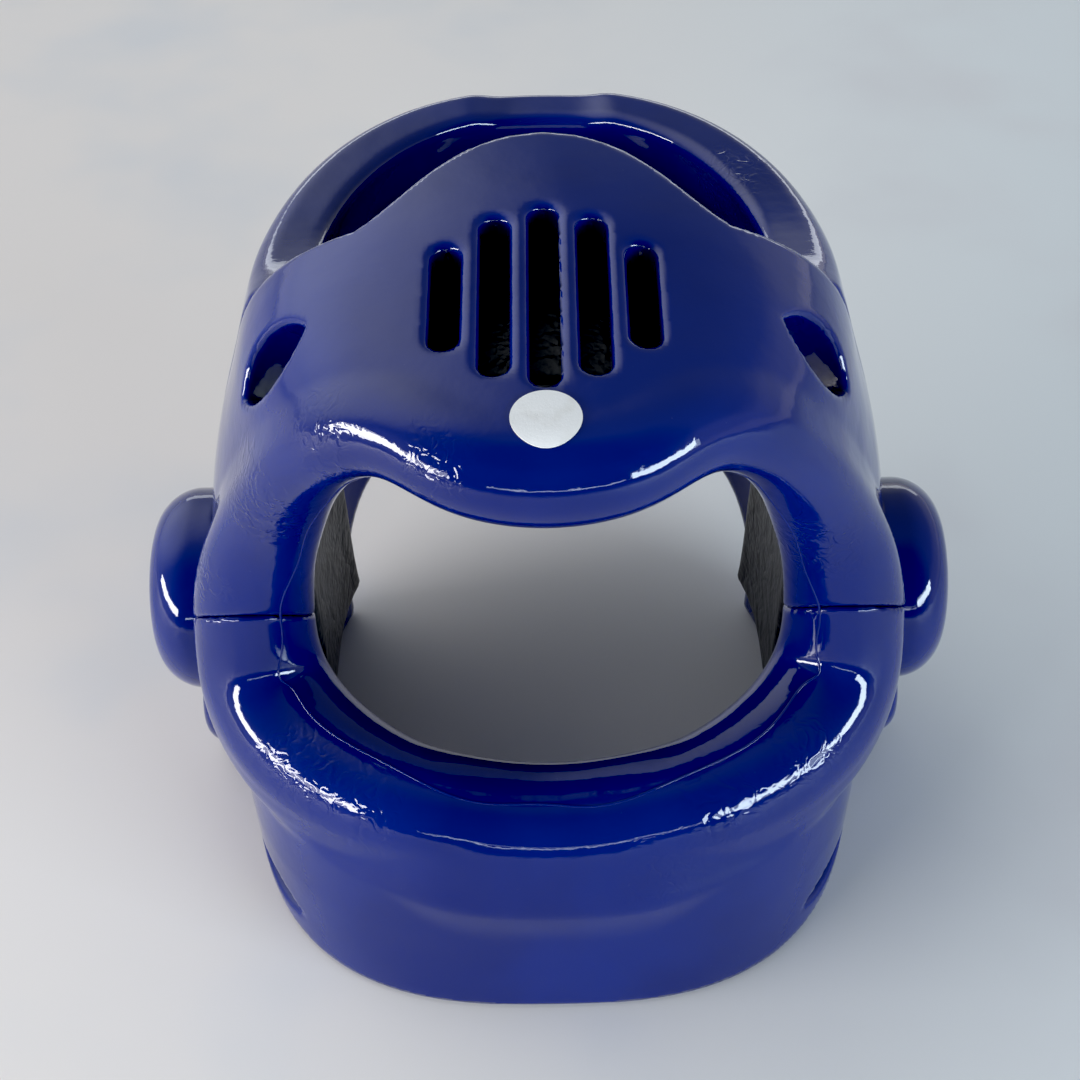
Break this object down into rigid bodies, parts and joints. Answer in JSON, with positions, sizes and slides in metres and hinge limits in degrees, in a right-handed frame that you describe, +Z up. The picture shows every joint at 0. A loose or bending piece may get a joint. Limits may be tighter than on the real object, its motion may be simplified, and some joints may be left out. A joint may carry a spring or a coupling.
{
  "type": "taekwondo headgear",
  "caption": "Full-face foam headgear: rounded shell with a face opening, chin guard, round ear pads, vented crown lobe and open back of the crown.",
  "frame": {"origin": "bottom centre of the bounding box, on the surface the headgear stands on", "axes": "+X to the wearer's left, across both ear pads; +Z up; the face looks along -Y"},
  "size_m": [0.266, 0.249, 0.2315],
  "materials": {
    "blue_foam": "high gloss dipped vinyl skin over soft foam",
    "black_lining": "matte soft foam lining",
    "white_label": "matte paper disc"
  },
  "bodies": {
    "root": {"front_shell": "blue_foam", "chin_guard": "blue_foam", "rear_shell": "blue_foam", "liner_crown": "black_lining", "liner_rear": "black_lining", "size_label": "white_label", "ear_pad_left": "blue_foam", "ear_lobe_left": "blue_foam", "liner_left": "black_lining", "ear_pad_right": "blue_foam", "ear_lobe_right": "blue_foam", "liner_right": "black_lining"}
  },
  "joints": []
}
